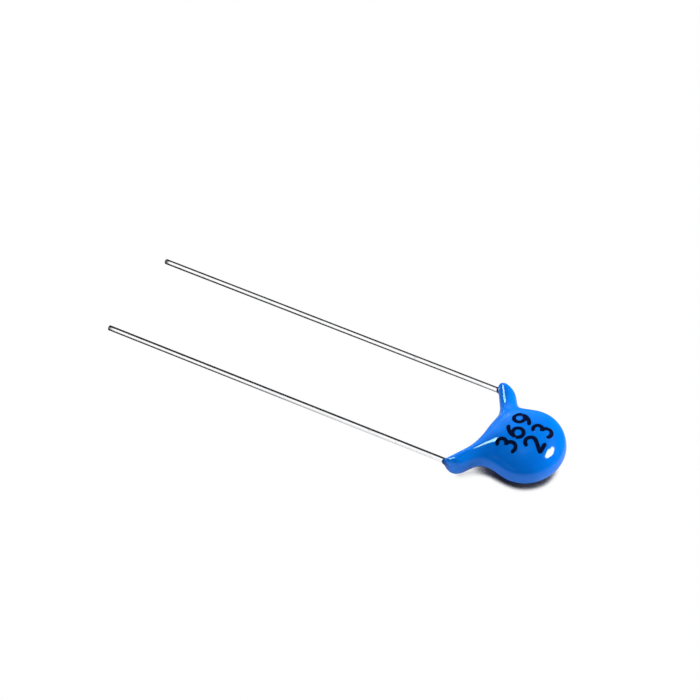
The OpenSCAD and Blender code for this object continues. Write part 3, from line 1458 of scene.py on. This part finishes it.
@dataclass(frozen=True)
class Floor:
    """The pale floor, which shows white but for the shadow close to the part; there a painted
    shadow darkens it, and mirrors see a painted dark reflection of it.
    """

    size: float = 4.0
    pale: Colour = (0.7, 0.7, 0.7)
    # Painted shadow: the floor's colour in the narrow gap under the body.
    painted_crevice_shadow: Colour = (0.10, 0.10, 0.12)
    # Painted reflection: the floor as mirrors see it, grey near the body and nearly black away
    # from it.
    near_painted_reflection: Colour = (0.45, 0.45, 0.45)
    far_painted_reflection: Colour = (0.04, 0.04, 0.04)
    white_mirrored: float = 0.2
    near_reach: Span = (0.006, 0.015)
    crevice_reach: float = 0.0014
    crevice_span: Span = (0.44, 0.60)
    crevice_samples: int = 16

    def _near(self, wiring: Wiring) -> bpy.types.NodeSocket:
        """Build the mask that is 1 close to the body and 0 away from it.

        Args:
            wiring: Wiring of the floor's material.

        Returns:
            The socket with the mask.
        """
        return wiring.spread(wiring.gap_to(BODY_FOOT), *self.near_reach, 1.0, 0.0)

    def _clear(self, wiring: Wiring, near: bpy.types.NodeSocket) -> bpy.types.NodeSocket:
        """Build the mask that is 0 in the narrow gap under the body, where the shadow is painted,
        and 1 outside it.

        Args:
            wiring: Wiring of the floor's material.
            near: Mask that is 1 close to the body.

        Returns:
            The socket with the mask.
        """
        crevice = wiring.node("ShaderNodeAmbientOcclusion", {"Distance": self.crevice_reach},
                              samples=self.crevice_samples)
        open_sky = wiring.spread(crevice.outputs["AO"], *self.crevice_span)
        return wiring.sum_of("MAXIMUM", open_sky, wiring.sum_of("SUBTRACT", 1.0, near))

    def _material(self) -> bpy.types.Material:
        """Build the floor's material.

        Returns:
            The material.
        """
        material, wiring = stage_material("white_floor")
        near = self._near(wiring)
        clear = self._clear(wiring, near)
        rays = wiring.node("ShaderNodeLightPath").outputs
        glossy = rays["Is Glossy Ray"]
        direct = wiring.sum_of("MAXIMUM", rays["Is Camera Ray"], rays["Is Transmission Ray"])
        mirrored = wiring.sum_of("MULTIPLY", wiring.sum_of("MULTIPLY", glossy, near),
                                 self.white_mirrored)
        white = wiring.sum_of("MULTIPLY", wiring.sum_of("MAXIMUM", direct, mirrored), clear)
        # Painted shadow: the floor's colour turns dark in the narrow gap under the body.
        lit = wiring.mix(clear, self.painted_crevice_shadow, self.pale)
        # Painted reflection: mirrors see the floor grey near the body, nearly black away from it
        # and black in the gap under it.
        reflected = wiring.mix(near, self.far_painted_reflection, self.near_painted_reflection)
        reflected = wiring.mix(clear, BLACK, reflected)
        plain = wiring.node("ShaderNodeBsdfDiffuse",
                            {"Color": wiring.mix(glossy, lit, reflected)})
        blend = wiring.node("ShaderNodeMixShader", {"Fac": white})
        wiring.feed(blend.inputs[1], plain.outputs[0])
        wiring.feed(blend.inputs[2], wiring.node("ShaderNodeEmission").outputs[0])
        wiring.show(blend)
        return material

    def build(self) -> bpy.types.Object:
        """Lay the floor.

        Returns:
            The floor's object.
        """
        half = self.size / 2
        corners = [(-half, -half, 0), (half, -half, 0), (half, half, 0), (-half, half, 0)]
        mesh = bpy.data.meshes.new("floor")
        mesh.from_pydata(corners, [], [(0, 1, 2, 3)])
        mesh.materials.append(self._material())
        floor = add_object("floor", mesh)
        return floor


@dataclass(frozen=True)
class Viewpoint:
    """Where the camera stands and how it frames the part, in metres and radians."""

    azimuth: float = math.radians(30.3)
    elevation: float = math.radians(46.8)
    distance: float = 0.425
    target: Point = (-0.001877, 0.00406, 0.0)
    focal_pixels: float = 4573.0
    image_pixels: float = 700.0
    sensor: float = 36.0
    near_clip: float = 0.01

    def build(self) -> bpy.types.Object:
        """Stand the camera at its place and make it the scene's own.

        Returns:
            The camera.
        """
        flat = math.cos(self.elevation)
        back = Vector((math.sin(self.azimuth) * flat, -math.cos(self.azimuth) * flat,
                       math.sin(self.elevation)))
        right = Vector((math.cos(self.azimuth), math.sin(self.azimuth), 0.0))
        data = bpy.data.cameras.new("camera")
        data.sensor_width = self.sensor
        data.lens = self.focal_pixels / self.image_pixels * self.sensor
        data.clip_start = self.near_clip
        camera = add_object("camera", data)
        turn = Matrix((right, back.cross(right), back)).transposed()
        camera.matrix_world = turn.to_4x4()
        camera.location = Vector(self.target) + back * self.distance
        bpy.context.scene.camera = camera
        return camera


@dataclass(frozen=True)
class Studio:
    """The floor, a plain world, soft lamps, the cards that the part mirrors and the camera."""

    pieces: dict[str, bpy.types.Object]
    floor: Floor = Floor()
    viewpoint: Viewpoint = Viewpoint()
    lamp_distance: float = 0.5
    sky_soft: float = 0.05
    sky_mirrored: float = 0.03
    lamps: tuple[Softbox, ...] = (
        Softbox(Job.LIGHT, "top_light", 20, 54, 14.0, 0.68),
        Softbox(Job.LIGHT, "left_light", -45, 13, 12.0, 1.20),
        Softbox(Job.LIGHT, "right_light", 60, 13, 12.0, 0.95),
        Softbox(Job.LIGHT, "front_light", 195, 13, 12.0, 0.37),
        Softbox(Job.GLINT, "right_glint", 76, 52, 13.0, 24.0),
        Softbox(Job.GLINT, "ridge_glint", -96, 68, 8.5, 18.0, COOL),
        Softbox(Job.GLINT, "heel_glint", -117, 48, 16.0, 20.0, COOL),
        Softbox(Job.GLINT, "leg_glint", -88, 26, 13.0, 14.0, COOL),
    )
    cards: tuple[Card, ...] = (
        Card.along("lower_lead_card", Seen.LOWER_LEAD, tube(-26, 0, 110), 1.15),
        Card.along("upper_lead_card", Seen.UPPER_LEAD, tube(-28, 0, 75), 1.15),
        Card.along("wide_floor_card", Seen.LOWER_LEAD, [(-30.0, 0.1), (-1.0, 0.1)], 0.9),
        Card.along("open_floor_card", Seen.UPPER_LEAD, [(-30.0, 0.05), (-8.0, 0.05)], 0.9),
        Card.along("near_floor_card", Seen.UPPER_LEAD, [(-8.0, 0.05), (-5.3, 0.05)], 0.9,
                   fade=(-10.0, 4.0)),
        Card.along("lower_back_card", Seen.LOWER_LEAD, tube(34, 0, 60), 1.0,
                   span=(8.0, 80.0)),
        Card.along("upper_back_card", Seen.UPPER_LEAD, tube(36, 0, 60), 1.0,
                   span=(8.0, 80.0)),
        Card.facing("sky_card", Seen.COATING, Vector((-0.80, 0.50, 0.33)).normalized(), 0.38,
                    fade=(0.6, 1.0)),
    )

    def _only_for(self, source: bpy.types.Object, seen: Seen) -> None:
        """Let a lamp or a card light one piece alone.

        Args:
            source: The lamp or the card.
            seen: The piece.
        """
        lit = bpy.data.collections.new(f"{source.name}_lights")
        lit.objects.link(self.pieces[seen.value])
        source.light_linking.receiver_collection = lit

    def _lamp(self, box: Softbox) -> None:
        """Add one soft lamp, aimed at the part.

        Args:
            box: What the lamp is.
        """
        light = bpy.data.lights.new(box.name, "AREA")
        light.shape = "DISK"
        light.size = 2 * box.radius(self.lamp_distance)
        light.energy = box.power(self.lamp_distance)
        light.color = box.tint
        lamp = add_object(box.name, light)
        low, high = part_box("epoxy_coating")
        lamp.location = (low + high) / 2 + box.direction * self.lamp_distance
        lamp.rotation_euler = box.direction.to_track_quat("Z", "Y").to_euler()
        lamp.visible_glossy = box.job is Job.GLINT
        lamp.visible_diffuse = box.job is Job.LIGHT
        if box.job is Job.GLINT:
            self._only_for(lamp, Seen.COATING)

    def _world(self) -> None:
        """Show white to the camera, light the part softly and keep the mirrored sky dim."""
        world = bpy.data.worlds.new("studio")
        world.use_nodes = True
        world.cycles.sampling_method = "NONE"
        bpy.context.scene.world = world
        wiring = Wiring(world.node_tree)
        background = next(n for n in world.node_tree.nodes if n.type == "BACKGROUND")
        rays = wiring.node("ShaderNodeLightPath").outputs
        direct = wiring.sum_of("MAXIMUM", rays["Is Camera Ray"], rays["Is Transmission Ray"])
        level = wiring.spread(rays["Is Glossy Ray"], 0.0, 1.0, self.sky_soft, self.sky_mirrored)
        wiring.feed(background.inputs["Strength"], wiring.sum_of("MAXIMUM", direct, level))
        wiring.feed(background.inputs["Color"], (*WHITE, 1.0))

    def build(self) -> None:
        """Set up the whole studio."""
        bpy.context.scene.view_settings.view_transform = "Standard"
        self.floor.build()
        self._world()
        for lamp in self.lamps:
            self._lamp(lamp)
        for card in self.cards:
            self._only_for(card.build(), card.seen)
        self.viewpoint.build()


def wire_exits(skin: Skin, pose: RestPose) -> tuple[Point, ...]:
    """Find where the two wires leave the coating.

    Args:
        skin: The coating's skin.
        pose: How the part lies.

    Returns:
        The two points in metres.
    """
    upper = np.array([skin.exit_x, -skin.wire.side, skin.wire.lift])
    return tuple(tuple(pose.place(point).tolist()) for point in (upper, upper * HALF_TURN))


def report(pieces: Iterable[bpy.types.Object]) -> None:
    """Log the name and the faces of each piece."""
    for piece in pieces:
        LOG.info("%s: %d faces", piece.name, len(piece.data.polygons))


def main() -> None:
    """Build every piece round the frame, then the studio."""
    logging.basicConfig(level=logging.INFO, format="%(name)s: %(message)s")
    wire = Wire()
    skin = Skin(wire)
    pose = RestPose.from_frame(wire)
    effects = Effects()
    epoxy = GlossEpoxy(effects, exits=wire_exits(skin, pose))
    coating = Coating(skin, pose, epoxy).build()
    report([coating])
    tinned = TinnedWire(effects).build()
    leads = [Lead(wire, skin, pose, side, tinned).build() for side in Side]
    report(leads)
    report(Marking(skin, pose, StampInk(effects)).build())
    report(HeldCore(FiredCeramic(effects), FiredSilver(effects), SoftSolder(effects)).dress())
    Studio({piece.name: piece for piece in (coating, *leads)}).build()


if __name__ == "__main__":
    main()
